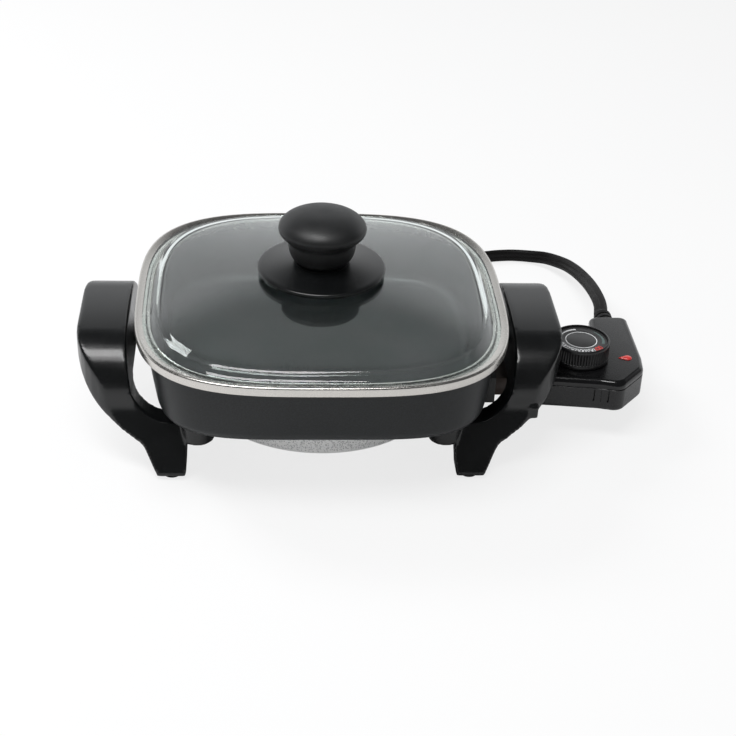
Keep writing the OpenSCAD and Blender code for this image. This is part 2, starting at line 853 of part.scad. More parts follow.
module window_shape(grow) {
    polygon(concat(
        [[-6.1 - grow, 0]],
        [for (t = [-100 : 20 : 100]) (2.9 + grow) * [cos(t), sin(t)]]
    ));
}

module at_window(z) {
    translate([window_x, window_y, z])
        children();
}

module at_dial(z) {
    translate([dial_x, 0, z])
        children();
}

module at_case_screws(z) {
    for (p = case_screws_at)
        translate([control_x + p.x, p.y, z])
            children();
}

module control_top() {
    color([0.1, 0.1, 0.105])
        place()
            difference() {
                union() {
                    difference() {
                        case_shape(concat(
                            [[0, seam_z, control_high - bevel_h]],
                            edge_layers(control_high - bevel_h, bevel_h, bevel_in)
                        ));
                        case_hollow(seam_z - 1, case_ceiling);
                    }
                    at_case_screws(case_ceiling - 4)
                        cylinder(h = 5, r = post_r);
                }
                at_case_screws(case_ceiling - 5)
                    cylinder(h = 4, r = case_screw_r + seat_gap);
                at_dial(case_ceiling - 1)
                    cylinder(h = case_t + 2, r = shaft_r + 0.6);
                at_window(case_ceiling - 1)
                    linear_extrude(case_t + 2)
                        window_shape(seat_gap);
                socket_opening();
            }
}

module control_bottom() {
    color([0.12, 0.12, 0.125])
        place()
            difference() {
                union() {
                    difference() {
                        case_shape(concat(
                            [[0, control_low + draft_h, seam_z]],
                            edge_layers(control_low + draft_h, -draft_h, draft_in)
                        ));
                        case_hollow(case_floor, seam_z + 1);
                    }
                    at_case_screws(case_floor - 1)
                        cylinder(h = case_ceiling - 4 - seat_gap - case_floor + 1, r = post_r);
                }
                at_case_screws(control_low - 1) {
                    cylinder(h = case_t + 1.5, r = 2 * case_screw_r + screw_gap);
                    cylinder(h = control_h, r = case_screw_r + screw_gap);
                }
                socket_opening();
                for (p = [[48, -28.6], [52.5, -29.6], [57, -30.8]])
                    block([control_x + p.x, -40, pin_z - 5], [control_x + p.x + 1, p.y, pin_z + 4]);
                along_y([relief_x, case_back - 6, relief_z], 10, relief_r - 1.5 + seat_gap);
            }
}

// Insulating block with the two sockets and the probe
module socket_block() {
    inner_end = control_x + case_t + 3.2;
    color([0.16, 0.1, 0.08])
        place()
            difference() {
                union() {
                    block([socket_x, -socket_half, pin_z - socket_half_h],
                        [inner_end, socket_half, pin_z + socket_half_h]);
                    block([control_x + case_t + 1.3, 2 - socket_half, pin_z - socket_half_h - 1.5],
                        [inner_end, socket_half - 2, pin_z + socket_half_h]);
                }
                both_sides(pin_half) {
                    along_x([socket_x - 1, 0, pin_z], 50, sleeve_bore);
                    along_x([socket_x + 1.5, 0, pin_z], 50, sleeve_r + seat_gap);
                }
                along_x([socket_x - 1, 0, pin_z], 50, bore_r);
            }
}

module contact_sleeves() {
    color([0.78, 0.62, 0.3])
        place()
            both_sides(pin_half)
                difference() {
                    along_x([socket_x + 1.5, 0, pin_z], 35, sleeve_r);
                    along_x([socket_x, 0, pin_z], 27, sleeve_bore);
                }
}

module probe_tube() {
    tip_x = socket_x - probe_l;
    color([0.75, 0.75, 0.73])
        place()
            difference() {
                union() {
                    along_x([tip_x + probe_r, 0, pin_z], control_x + 9 - tip_x - probe_r, probe_r);
                    translate([tip_x + probe_r, 0, pin_z])
                        sphere(r = probe_r);
                }
                along_x([tip_x + probe_r, 0, pin_z], 200, probe_r - 1);
            }
}

module probe_rod() {
    rod_x = socket_x - probe_l + probe_r + 1;
    color([0.9, 0.88, 0.82])
        place()
            along_x([rod_x, 0, pin_z], blade_x - 1 - rod_x - seat_gap, probe_r - 1.2);
}

// Thermostat: a bent frame that carries the shaft's bush, and a stack of blades beside it
module thermostat_frame() {
    back_x = dial_x + 11;
    color([0.65, 0.65, 0.62])
        place()
            difference() {
                union() {
                    block([blade_x - 3, -11, case_floor], [back_x, 11, case_floor + frame_t]);
                    block([back_x - frame_t, -8, case_floor], [back_x, 8, arm_z + frame_t]);
                    block([dial_x - 9, -8, arm_z], [back_x, 8, arm_z + frame_t]);
                }
                at_dial(arm_z - 1)
                    cylinder(h = frame_t + 2, r = shaft_r + 1 + seat_gap);
            }
}

module shaft_bush() {
    color([0.78, 0.62, 0.3])
        place()
            at_dial(arm_z)
                difference() {
                    union() {
                        cylinder(h = case_ceiling - arm_z - seat_gap, r = shaft_r + 1);
                        translate([0, 0, frame_t])
                            cylinder(h = frame_t, r = shaft_r + 3);
                    }
                    translate([0, 0, -1])
                        cylinder(h = 10, r = shaft_r + seat_gap);
                }
}

spacer_zs = [for (i = [0 : 2]) case_floor + frame_t + i * (spacer_h + blade_t)];

module ceramic_spacers() {
    color([0.9, 0.88, 0.82])
        place()
            for (z = spacer_zs)
                block([blade_x, -5, z], [blade_x + 10, 5, z + spacer_h]);
}

module contact_blades() {
    color([0.75, 0.6, 0.35])
        place()
            for (i = [0, 1])
                union() {
                    block([blade_x - 1, -4, spacer_zs[i] + spacer_h],
                        [dial_x + 2, 4, spacer_zs[i] + spacer_h + blade_t]);
                    translate([dial_x - 3, 0, spacer_zs[i] + spacer_h + blade_t * (1 - i)])
                        mirror([0, 0, i])
                            cylinder(h = 1, r = 2);
                }
}

module bimetal_blade() {
    color([0.6, 0.55, 0.45])
        place()
            block([blade_x, -4, spacer_zs[2] + spacer_h],
                [dial_x - shaft_r - 1.5, 4, spacer_zs[2] + spacer_h + 1]);
}

// Signal: the lamp lies under the red window, whose foot reaches down to it
module pointer_window() {
    color([0.85, 0.12, 0.1])
        place()
            at_window(case_ceiling - 2.6)
                linear_extrude(case_t + 3)
                    window_shape(0);
}

module neon_lamp() {
    color([0.95, 0.55, 0.3])
        place()
            along_x([window_x - 8.5, window_y, case_ceiling - 2.6 - seat_gap - 2.6], 12, 2.6);
}

module case_screws() {
    color([0.7, 0.7, 0.7])
        place()
            at_case_screws(control_low + case_t + 0.5) {
                translate([0, 0, -1.6])
                    cylinder(h = 1.6, r = 2 * case_screw_r);
                cylinder(h = case_ceiling - 1.4 - control_low - case_t - 0.5, r = case_screw_r);
            }
}

// Two wires from the cord to the sockets
module supply_leads() {
    sleeve_end = socket_x + 36.5;
    live = [
        [relief_x + 2, case_back - 5.4, relief_z], [control_x + 65, 38, case_floor + 4],
        [control_x + 61, 24, case_floor + 3], [control_x + 42, 15.5, case_floor + 3],
        [control_x + 22, 14.5, case_floor + 3.5],
        [sleeve_end + 4, 13.5, pin_z - 4], [sleeve_end + 1.1, pin_half, pin_z - 0.5]
    ];
    neutral = [
        [relief_x - 2, case_back - 5.4, relief_z], [control_x + 64, 38, case_ceiling - 2.5],
        [control_x + 61, 24, case_ceiling - 1.8], [control_x + 46, 18, case_ceiling - 1.8],
        [control_x + 29, 16, case_ceiling - 1.8], [control_x + 19, 2, case_ceiling - 1.8],
        [sleeve_end + 4, -8.5, pin_z + 3], [sleeve_end + 1.1, -pin_half, pin_z + 0.5]
    ];
    color([0.2, 0.2, 0.2])
        place()
            for (line = [live, neutral])
                swept(smooth(line, 3), 2.2, 2.2, 8);
}

// Ribbed collar where the cord leaves the casing
module strain_relief() {
    color([0.05, 0.05, 0.05])
        place()
            translate([relief_x, case_back, relief_z])
                rotate([-90, 0, 0]) {
                    translate([0, 0, -4.5])
                        cylinder(h = 1.2, r = relief_r - 0.4);
                    translate([0, 0, -4])
                        cylinder(h = 5, r = relief_r - 1.5);
                    translate([0, 0, 0.1])
                        cylinder(h = relief_l - 0.1, r = cord_w / 2 + 0.3);
                    for (i = [0 : 3])
                        translate([0, 0, 0.1 + 5 * i])
                            cylinder(h = 3.6, r = relief_r - 0.1 * i);
                    translate([0, 0, relief_l - 6.3])
                        cylinder(h = 6.3, r1 = relief_r - 0.2, r2 = cord_w / 2 + 0.3);
                }
}

// Dial
module dial() {
    color([0.06, 0.06, 0.065])
        place()
            at_dial(dial_z)
                difference() {
                    union() {
                        linear_extrude(dial_h - 0.8)
                            polygon([
                                for (i = [0 : 4 * dial_ribs - 1])
                                    let (a = 90 * i / dial_ribs, r = dial_r - (i % 4 < 2 ? 0 : 0.7))
                                    r * [cos(a), sin(a)]
                            ]);
                        translate([0, 0, dial_h - 0.8])
                            cylinder(h = 0.8, r1 = dial_r - 0.7, r2 = dial_r - 1.2, $fn = 96);
                    }
                    translate([0, 0, -1])
                        difference() {
                            cylinder(h = dial_h - 2, r = dial_r - 2.6);
                            cylinder(h = dial_h - 2, r = shaft_r + 2.6);
                        }
                    translate([0, 0, face_low])
                        cylinder(h = 3, r = dial_r - 1.9 + seat_gap, $fn = 96);
                    translate([0, 0, -1])
                        cylinder(h = dial_h - 2, r = shaft_r + seat_gap);
                }
}

module dial_face() {
    color([0.12, 0.12, 0.12])
        place()
            at_dial(dial_z + face_low)
                cylinder(h = face_t, r = dial_r - 1.9, $fn = 96);
}

module dial_shaft() {
    shaft_low = spacer_zs[2] + 1.2;
    color([0.7, 0.7, 0.68])
        place()
            at_dial(shaft_low)
                cylinder(h = dial_z + dial_h - 3 - seat_gap - shaft_low, r = shaft_r);
}

// Cord: the free stretch, the stored coil and the short stretch to the plug
module power_cord() {
    line = smooth(cord_out, 2);
    color([0.05, 0.04, 0.04])
        place()
            swept([for (p = line) [p.x, p.y, p.z]], cord_w, cord_t, 10, [for (p = line) p[3]]);
}

module cord_coil() {
    color([0.05, 0.04, 0.04])
        place()
            translate([coil_at.x, coil_at.y, coil_low])
                rotate_extrude()
                    translate([coil_r - cord_w / 2, 0])
                        square([cord_w, coil_h]);
}

module cord_tail() {
    color([0.05, 0.04, 0.04])
        place()
            swept(smooth(cord_in, 2), cord_w, cord_t, 10);
}

module cord_tie() {
    tie_x = coil_at.x - coil_r - cord_w / 2;
    color([0.15, 0.15, 0.15])
        place()
            difference() {
                block([tie_x - 1, coil_at.y - 3, coil_low - 0.9],
                    [tie_x + cord_w + 1.2, coil_at.y + 3, coil_low + coil_h + 0.9]);
                block([tie_x - 0.05, coil_at.y - 4, coil_low - 0.05],
                    [tie_x + cord_w + 0.3, coil_at.y + 4, coil_low + coil_h + 0.05]);
            }
}

module plug_body() {
    end = cord_in[len(cord_in) - 1];
    color([0.05, 0.05, 0.05])
        place()
            translate([end.x - plug_l, end.y, end.z])
                rotate([0, 90, 0])
                    hull() {
                        cylinder(h = 4, r = 5.5);
                        for (y = [-1, 1], x = [-1, 1])
                            translate([x * (plug_h / 2 - 3), y * (plug_w / 2 - 3), 0])
                                cylinder(h = plug_l - 14, r = 3, $fn = 32);
                        cylinder(h = plug_l, r = 5.5, $fn = 32);
                    }
}

module plug_blades() {
    end = cord_in[len(cord_in) - 1];
    color([0.8, 0.75, 0.6])
        place()
            for (y = [-6.35, 6.35])
                block([end.x - plug_l - 16, end.y + y - 0.75, end.z - 3.2],
                    [end.x - plug_l, end.y + y + 0.75, end.z + 3.2]);
}

pan();
heating_element();
terminal_pins();
pin_beads();
probe_well();
element_cover();
cover_nut();
terminal_guard();
guard_screws();
left_handle();
right_handle();
handle_screws();
foot_pads();
lid_glass();
lid_rim();
lid_knob();
knob_base_guard();
knob_ring();
knob_insert();
knob_screw();
knob_washer();
glass_gasket();
control_top();
control_bottom();
socket_block();
contact_sleeves();
probe_tube();
probe_rod();
thermostat_frame();
contact_blades();
bimetal_blade();
ceramic_spacers();
shaft_bush();
neon_lamp();
pointer_window();
case_screws();
supply_leads();
strain_relief();
dial();
dial_face();
dial_shaft();
power_cord();
cord_coil();
cord_tail();
cord_tie();
plug_body();
plug_blades();
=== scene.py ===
import math

import bmesh
import bpy
from mathutils import Euler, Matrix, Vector


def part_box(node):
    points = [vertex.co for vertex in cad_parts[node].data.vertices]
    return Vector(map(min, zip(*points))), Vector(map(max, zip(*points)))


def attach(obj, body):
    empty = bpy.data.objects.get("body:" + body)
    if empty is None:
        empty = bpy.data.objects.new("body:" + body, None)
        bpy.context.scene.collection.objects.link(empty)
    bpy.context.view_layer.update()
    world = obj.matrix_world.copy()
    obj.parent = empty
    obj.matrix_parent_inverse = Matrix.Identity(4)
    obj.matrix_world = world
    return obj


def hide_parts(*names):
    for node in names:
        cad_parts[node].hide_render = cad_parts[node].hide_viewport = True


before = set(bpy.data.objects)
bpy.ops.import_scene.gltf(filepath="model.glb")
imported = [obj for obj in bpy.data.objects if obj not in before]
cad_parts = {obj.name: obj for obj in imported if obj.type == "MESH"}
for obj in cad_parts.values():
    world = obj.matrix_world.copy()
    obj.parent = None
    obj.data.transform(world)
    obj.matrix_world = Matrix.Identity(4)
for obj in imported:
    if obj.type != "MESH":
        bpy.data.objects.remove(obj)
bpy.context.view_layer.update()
scene = bpy.context.scene
print("frame loaded:", len(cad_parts), "nodes")

# Sizes are in millimetres from the pan's axis at table height, and inRow turns them into the row frame
millimetre = 0.001
lidLow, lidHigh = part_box("lid_rim")
panAxis = Vector(((lidLow.x + lidHigh.x) / 2, 0, 0))


def inRow(point):
    return panAxis + Vector(point) * millimetre


def boxOf(node):
    low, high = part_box(node)
    return (low - panAxis) / millimetre, (high - panAxis) / millimetre


def direction(degrees):
    return Vector((math.cos(math.radians(degrees)), math.sin(math.radians(degrees))))


# Camera
camera = {
    "place": (-39.1, -893.1, 575.4),
    "turn": (58.844, -2.139, -3.261),
    "lens": 78.26,
    "sensor": 36,
}


def addCamera():
    data = bpy.data.cameras.new("camera")
    data.lens = camera["lens"]
    data.sensor_width = camera["sensor"]
    data.clip_start = 0.05
    data.clip_end = 20
    obj = bpy.data.objects.new("camera", data)
    obj.location = inRow(camera["place"])
    obj.rotation_euler = Euler([math.radians(angle) for angle in camera["turn"]])
    scene.collection.objects.link(obj)
    scene.camera = obj


addCamera()


# Shapes are (points, faces) in millimetres
def joined(*shapes):
    points, faces = [], []
    for somePoints, someFaces in shapes:
        start = len(points)
        points += [tuple(point) for point in somePoints]
        faces += [tuple(start + corner for corner in face) for face in someFaces]
    return points, faces


def moved(shape, step):
    return [Vector(point) + Vector(step) for point in shape[0]], shape[1]


def skinOf(rings, looped=False):
    count, levels = len(rings[0]), len(rings)
    faces = []
    for low in range(levels if looped else levels - 1):
        high = (low + 1) % levels
        for i in range(count):
            k = (i + 1) % count
            faces.append((low * count + i, low * count + k, high * count + k, high * count + i))
    if not looped:
        faces.append(tuple(reversed(range(count))))
        faces.append(tuple(range((levels - 1) * count, levels * count)))
    return [point for ring in rings for point in ring], faces


def circle(radius, height, count=96):
    return [(*(radius * direction(360 * i / count)), height) for i in range(count)]


def lathe(profile, looped=False, count=96):
    return skinOf([circle(max(radius, 0.02), height, count) for radius, height in profile], looped)


def turnedToBack(shape, place):
    # Turns a shape made along +Z so that it runs along +Y from a place
    return [(place[0] + x, place[1] + z, place[2] - y) for x, y, z in shape[0]], shape[1]


def arc(centre, radius, start, end, steps):
    return [
        Vector(centre) + radius * direction(start + (end - start) * i / steps) for i in range(steps + 1)
    ]


def roundedCorner(before, corner, after, radius, steps):
    toBefore, toAfter = (before - corner).normalized(), (after - corner).normalized()
    half = toBefore.angle(toAfter) / 2
    middle = corner + (toBefore + toAfter).normalized() * radius / math.sin(half)
    first = corner + toBefore * radius / math.tan(half) - middle
    last = corner + toAfter * radius / math.tan(half) - middle
    start = math.degrees(math.atan2(first.y, first.x))
    sweep = (math.degrees(math.atan2(last.y, last.x)) - start + 180) % 360 - 180
    return arc(middle, radius, start, start + sweep, steps)


def rounded(corners, closed=True, steps=8):
    # Line through corners given as (x, y, rounding)
    line = []
    for i, (x, y, radius) in enumerate(corners):
        corner = Vector((x, y))
        atEnd = not closed and i in (0, len(corners) - 1)
        if radius == 0 or atEnd:
            line.append(corner)
            continue
        before = Vector(corners[i - 1][:2])
        after = Vector(corners[(i + 1) % len(corners)][:2])
        line += roundedCorner(before, corner, after, radius, steps)
    return line


def movedIn(corners, distance):
    result = []
    for i, (x, y, radius) in enumerate(corners):
        corner = Vector((x, y))
        along = (corner - Vector(corners[i - 1][:2])).normalized()
        onward = (Vector(corners[(i + 1) % len(corners)][:2]) - corner).normalized()
        inward, inwardNext = Vector((-along.y, along.x)), Vector((-onward.y, onward.x))
        corner = corner + (inward + inwardNext) * distance / (1 + inward.dot(inwardNext))
        result.append((corner.x, corner.y, radius))
    return result


def squareRing(half, height, exponent=3.3, count=192):
    # Ring of a rounded square, where an exponent of 2 is a circle
    ring = []
    for i in range(count):
        aim = direction(360 * i / count)
        reach = half / (abs(aim.x) ** exponent + abs(aim.y) ** exponent) ** (1 / exponent)
        ring.append((reach * aim.x, reach * aim.y, height))
    return ring


def atHeight(line, height):
    return [(point[0], point[1], height) for point in line]


def swept(route, section, rolls=None):
    # A flat section of (across, up) points swept along a route, level unless it is rolled by degrees
    rings = []
    for i, point in enumerate(route):
        run = (route[min(i + 1, len(route) - 1)] - route[max(i - 1, 0)]).normalized()
        level = run.cross(Vector((0, 0, 1))).normalized()
        raised = level.cross(run)
        turn = direction(rolls[i] if rolls else 0)
        across, up = level * turn.x + raised * turn.y, raised * turn.x - level * turn.y
        rings.append([point + across * side + up * rise for side, rise in section])
    return skinOf(rings)


def smooth(points, steps):
    points = [Vector(point) for point in points]
    line = []
    for i in range(len(points) - 1):
        a, b, c = points[max(i - 1, 0)], points[i], points[i + 1]
        d = points[min(i + 2, len(points) - 1)]
        for j in range(steps):
            t = j / steps
            bend = (2 * a - 5 * b + 4 * c - d) * t * t + (3 * b - a - 3 * c + d) * t**3
            line.append((2 * b + (c - a) * t + bend) / 2)
    return line + [points[-1]]


def addPiece(name, shape, material, body, replaced=(), sharp=38, materialOf=None):
    mesh = bpy.data.meshes.new(name)
    mesh.from_pydata([inRow(point) for point in shape[0]], [], shape[1])
    editable = bmesh.new()
    editable.from_mesh(mesh)
    bmesh.ops.recalc_face_normals(editable, faces=editable.faces)
    editable.to_mesh(mesh)
    editable.free()
    mesh.polygons.foreach_set("use_smooth", [True] * len(mesh.polygons))
    mesh.set_sharp_from_angle(angle=math.radians(sharp))
    for each in material if isinstance(material, list) else [material]:
        mesh.materials.append(each)
    if materialOf:
        for polygon in mesh.polygons:
            polygon.material_index = materialOf(polygon)
    obj = bpy.data.objects.new(name, mesh)
    scene.collection.objects.link(obj)
    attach(obj, body)
    if replaced:
        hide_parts(*replaced)
    return obj


# Shader maths on sockets
class Wire:
    def __init__(self, graph, socket):
        self.graph = graph
        self.socket = socket

    def combined(self, operation, other, swapped=False):
        first, second = (other, self) if swapped else (self, other)
        kinds = {each.socket.type for each in (first, second) if isinstance(each, Wire)}
        width = 4 if "RGBA" in kinds else 3 if "VECTOR" in kinds else 1
        if width > 1:
            first, second = [
                (each,) * width if isinstance(each, (int, float)) else each for each in (first, second)
            ]
        if width == 4:
            settings = {"data_type": "RGBA", "blend_type": operation}
            return self.graph.node("ShaderNodeMix", settings, {0: 1.0, 6: first, 7: second}, 2)
        kind = "ShaderNodeVectorMath" if width == 3 else "ShaderNodeMath"
        return self.graph.node(kind, {"operation": operation}, {0: first, 1: second})

    def __add__(self, other):
        return self.combined("ADD", other)

    def __radd__(self, other):
        return self.combined("ADD", other, True)

    def __sub__(self, other):
        return self.combined("SUBTRACT", other)

    def __rsub__(self, other):
        return self.combined("SUBTRACT", other, True)

    def __mul__(self, other):
        return self.combined("MULTIPLY", other)

    def __rmul__(self, other):
        return self.combined("MULTIPLY", other, True)

    def __truediv__(self, other):
        return self.combined("DIVIDE", other)

    def __rtruediv__(self, other):
        return self.combined("DIVIDE", other, True)

    def larger(self, other):
        return self.combined("MAXIMUM", other)

    def axis(self, name):
        return self.graph.node("ShaderNodeSeparateXYZ", values={0: self}, output=name)

    def ramp(self, start, end, low=0.0, high=1.0):
        settings = {"interpolation_type": "SMOOTHSTEP"}
        return self.graph.node("ShaderNodeMapRange", settings, {0: self, 1: start, 2: end, 3: low, 4: high})

    def blend(self, first, second):
        colours = [each if isinstance(each, Wire) else (*each, 1) for each in (first, second)]
        return self.graph.node(
            "ShaderNodeMix", {"data_type": "RGBA"}, {0: self, 6: colours[0], 7: colours[1]}, 2
        )


class Graph:
    def __init__(self, owner):
        owner.use_nodes = True
        self.tree = owner.node_tree
        self.tree.nodes.clear()

    def node(self, kind, settings=None, values=None, output=0):
        made = self.tree.nodes.new(kind)
        for key, value in (settings or {}).items():
            setattr(made, key, value)
        for key, value in (values or {}).items():
            if isinstance(value, Wire):
                self.tree.links.new(value.socket, made.inputs[key])
            else:
                made.inputs[key].default_value = value
        return Wire(self, made.outputs[output]) if made.outputs else None

    def place(self):
        return self.node("ShaderNodeTexCoord", output="Object")

    def noise(self, scale, detail=3, stretch=(1, 1, 1)):
        values = {"Vector": self.place() * tuple(stretch), "Scale": scale, "Detail": detail}
        return self.node("ShaderNodeTexNoise", values=values)

    def cells(self, scale):
        return self.node("ShaderNodeTexVoronoi", values={"Vector": self.place(), "Scale": scale})

    def bump(self, height, depth):
        return self.node("ShaderNodeBump", values={"Height": height, "Distance": depth * millimetre})


def surface(name, build):
    # build(graph) gives the values of the main shader's sockets
    material = bpy.data.materials.new(name)
    graph = Graph(material)
    shader = graph.node("ShaderNodeBsdfPrincipled", values=build(graph))
    graph.node("ShaderNodeOutputMaterial", values={"Surface": shader})
    return material


def finish(
    name, colour, roughness, metallic=0.0, grain=900, depth=0.02, spread=0.2, stretch=(1, 1, 1), **more
):
    # A plain finish: fine grain over broad, faint unevenness
    def build(graph):
        fine = graph.noise(grain, 3, stretch)
        tone = fine * 0.6 + graph.noise(grain / 20, 2) * 0.4
        dark, light = [[value * (1 + side * spread) for value in colour] for side in (-1, 1)]
        return {
            "Base Color": tone.ramp(0.35, 0.65).blend(dark, light),
            "Roughness": tone.ramp(0.35, 0.65, roughness * 0.86, roughness * 1.14),
            "Metallic": metallic,
            "Normal": graph.bump(fine, depth),
            **more,
        }

    return surface(name, build)


dull = {"Specular IOR Level": 0.15}
blackMoulding = finish("blackMoulding", (0.0045, 0.005, 0.0053), 0.24, grain=1400, depth=0.001)
knobSatin = finish("knobSatin", (0.009, 0.0095, 0.01), 0.46, grain=1800, depth=0.006)
blackRubber = finish("blackRubber", (0.007, 0.007, 0.0073), 0.6, grain=1800, depth=0.03, **dull)
cordRubber = finish("cordRubber", (0.0045, 0.004, 0.004), 0.5, grain=1200, depth=0.012, **dull)
caseMatte = finish("caseMatte", (0.004, 0.004, 0.0045), 0.27, grain=2200, depth=0.008)
faceMatte = finish("faceMatte", (0.03, 0.03, 0.031), 0.42, grain=2200, depth=0.02)
caseGloss = finish("caseGloss", (0.004, 0.004, 0.0045), 0.16, grain=1500, depth=0.003)
dialBlack = finish("dialBlack", (0.007, 0.007, 0.0075), 0.34, grain=1500, depth=0.01)
steel = {"metallic": 1.0, "depth": 0.004, "spread": 0.06}
bandSteel = {"metallic": 1.0, "depth": 0.0002, "spread": 0.03}
steelBand = finish("steelBand", (0.6, 0.58, 0.55), 0.26, grain=1600, **bandSteel)
zincPlate = finish("zincPlate", (0.6, 0.6, 0.58), 0.3, grain=500, **steel)
probeSteel = finish("probeSteel", (0.58, 0.58, 0.57), 0.24, grain=120, stretch=(1, 25, 25), **steel)
pinPlate = finish("pinPlate", (0.66, 0.65, 0.62), 0.2, grain=600, **steel)
brass = finish("brass", (0.66, 0.46, 0.18), 0.26, grain=400, **steel)
bladeAlloy = finish("bladeAlloy", (0.6, 0.42, 0.2), 0.3, grain=150, stretch=(1, 20, 20), **steel)
castWell = finish("castWell", (0.42, 0.42, 0.43), 0.55, 0.9, grain=700, depth=0.08)
elementSheath = finish("elementSheath", (0.2, 0.19, 0.18), 0.5, 0.8, grain=300, depth=0.05, spread=0.35)
whiteCeramic = finish("whiteCeramic", (0.78, 0.75, 0.68), 0.6, grain=1000, depth=0.03, spread=0.05)
darkSheet = finish("darkSheet", (0.05, 0.05, 0.05), 0.45, grain=800, depth=0.02)
brownBlock = finish("brownBlock", (0.05, 0.03, 0.022), 0.45, grain=900, depth=0.02)
paleGasket = finish("paleGasket", (0.7, 0.7, 0.68), 0.5, grain=900, depth=0.02, spread=0.05)
leadCover = finish("leadCover", (0.06, 0.06, 0.065), 0.5, grain=1500, depth=0.03)
whiteInk = finish("whiteInk", (0.72, 0.73, 0.74), 0.5, grain=2500, depth=0.01, spread=0.06)
paleInk = finish("paleInk", (0.09, 0.13, 0.125), 0.5, grain=2500, depth=0.01, spread=0.1)
redInk = finish("redInk", (0.62, 0.05, 0.04), 0.5, grain=2500, depth=0.01, spread=0.06)
redPlastic = finish("redPlastic", (0.62, 0.05, 0.045), 0.12, grain=900, depth=0.002, spread=0.08)
lampGlass = finish("lampGlass", (0.9, 0.5, 0.25), 0.1, grain=700, depth=0.002, spread=0.05)
print("finishes ready:", len(bpy.data.materials))

# Cord: the free stretch with its roll in degrees, two turns stored behind the pan, the stretch to the plug
cord = {
    "start": (201, 77, 32, 0),
    "out": [
        (201, 80, 32, 0), (202.2, 87, 32, 0), (202.9, 95, 31.7, 5), (203.1, 104, 30.9, 12),
        (203, 118, 29, 22), (202.3, 136, 25.8, 34), (200.3, 157.5, 21.4, 46), (197.6, 174, 17.7, 56),
        (193.6, 189, 14, 66), (184.5, 207.2, 9, 77), (173.6, 216, 6.1, 85), (159.5, 220, 5, 90),
        (146, 219, 4.9, 90), (133.5, 216, 4.9, 88), (118, 213.6, 4.7, 68), (103, 213, 3.7, 35),
        (88, 213.6, 3, 8), (76, 213.9, 3, 0),
    ],
    "coilAt": (66, 167),
    "coilFrom": (90, 47, 3.0),
    "coilTo": (820, 47, 13.6),
    "in": [
        (57.8, 213.3, 13.6, 0), (45.5, 213.3, 13.6, 0), (33, 213, 11.5, 0), (20, 210.6, 8.8, 0),
        (8, 206.3, 7.4, 0), (-2, 202.4, 7.6, 0), (-12, 199.5, 8.5, 0),
    ],
    "width": 9.5,
    "thick": 5,
    "groove": 0.26,
    "tieTop": 13.4,
    "length": 0.93,
}


def coilPoints(steps=50):
    points = []
    for i in range(steps):
        angle, radius, height = [
            low + (high - low) * i / steps for low, high in zip(cord["coilFrom"], cord["coilTo"])
        ]
        points.append((*(Vector(cord["coilAt"]) + radius * direction(angle)), height, 0))
    return points


def cordSection(count=56):
    # Flat with round sides and a shallow groove along the middle of both faces
    section = []
    for i in range(count):
        aim = direction(360 * i / count)
        side = math.copysign(abs(aim.x) ** 0.85, aim.x) * cord["width"] / 2
        rise = math.copysign(abs(aim.y) ** 0.8, aim.y) * cord["thick"] / 2
        section.append((side, rise * (1 - cord["groove"] * math.exp(-((side / 0.7) ** 2)))))
    return section


rolledRoute = smooth([cord["start"]] + cord["out"] + coilPoints() + cord["in"], 4)
route = [point.to_3d() for point in rolledRoute]
cordPiece = addPiece(
    "powerCord", swept(route, cordSection(), [point.w for point in rolledRoute]), cordRubber, "control",
    ["power_cord", "cord_coil", "cord_tail"], 60
)
print("cord made")


def plugShape():
    low, high = boxOf("plug_body")
    middle = (low + high) / 2
    stations = [
        (0, 21, 13), (0.3, 23, 15), (1.2, 24.6, 16.6), (3, 25, 17), (9, 25, 17), (12, 24.4, 16.6),
        (15, 22, 15), (18, 19.4, 13.4), (21, 17, 12.2), (25, 14, 11.2), (30, 11.6, 10.6), (33.4, 10.8, 10.4),
        (34, 10, 9.6),
    ]
    rings = []
    for along, width, height in stations:
        ring = squareRing(1, 0, 3.4, 64)
        rings.append([
            (low.x + along, middle.y + point[0] * width / 2, middle.z + point[1] * height / 2)
            for point in ring
        ])
    return skinOf(rings)


plug = addPiece("plugBody", plugShape(), cordRubber, "control", ["plug_body"])


def tieShape():
    low, high = boxOf("cord_tie")
    top = cord["tieTop"]
    corners = [(low.x, low.z + 0.6, 2), (high.x, low.z + 0.6, 2), (high.x, top, 2), (low.x, top, 2)]
    rings = []
    for inset, back in [(0.3, 0), (0, 0.4), (0, 5.6), (0.3, 6), (0.7, 6), (1, 5.6), (1, 0.4), (0.7, 0)]:
        line = rounded(movedIn(corners, inset))
        rings.append([(point.x, low.y + back, point.y) for point in line])
    return skinOf(rings, True)


tie = addPiece("cordTie", tieShape(), blackRubber, "control", ["cord_tie"])


def collarShape():
    profile = [(4.8, -3), (5.6, -3), (5.6, 0.1), (6.2, 0.2)]
    for i in range(4):
        reach, base = 6.4 - 0.1 * i, 0.3 + 5 * i
        profile += [(reach, base), (reach, base + 3), (reach - 0.3, base + 3.4), (5.3, base + 3.6)]
        profile += [(5.2, base + 4.6)]
    profile[-2:] = [(5.9, 19.6), (5.5, 21.6), (5.2, 23.6), (5, 24.6), (4.6, 25), (3, 25)]
    points, faces = lathe(profile, count=64)
    flat = [(x, y * (1 - 0.06 * max(0, z - 18.5)), z) for x, y, z in points]
    return turnedToBack((flat, faces), (201, 55, 32))


collar = addPiece("cordCollar", collarShape(), blackRubber, "control", ["strain_relief"])
print("cord, plug and collar ready")

# Pan
pan = {
    "half": 110.5, "base": 42, "rim": 85.3, "wall": 3.2, "floor": 45.5, "lean": 11.5, "round": 11,
    "lipOut": 1.2, "lipHeight": 4, "square": 3.3, "baseSquare": 4.7, "postX": 77, "postY": 62,
    "guardX": 93, "guardY": 30.5,
}


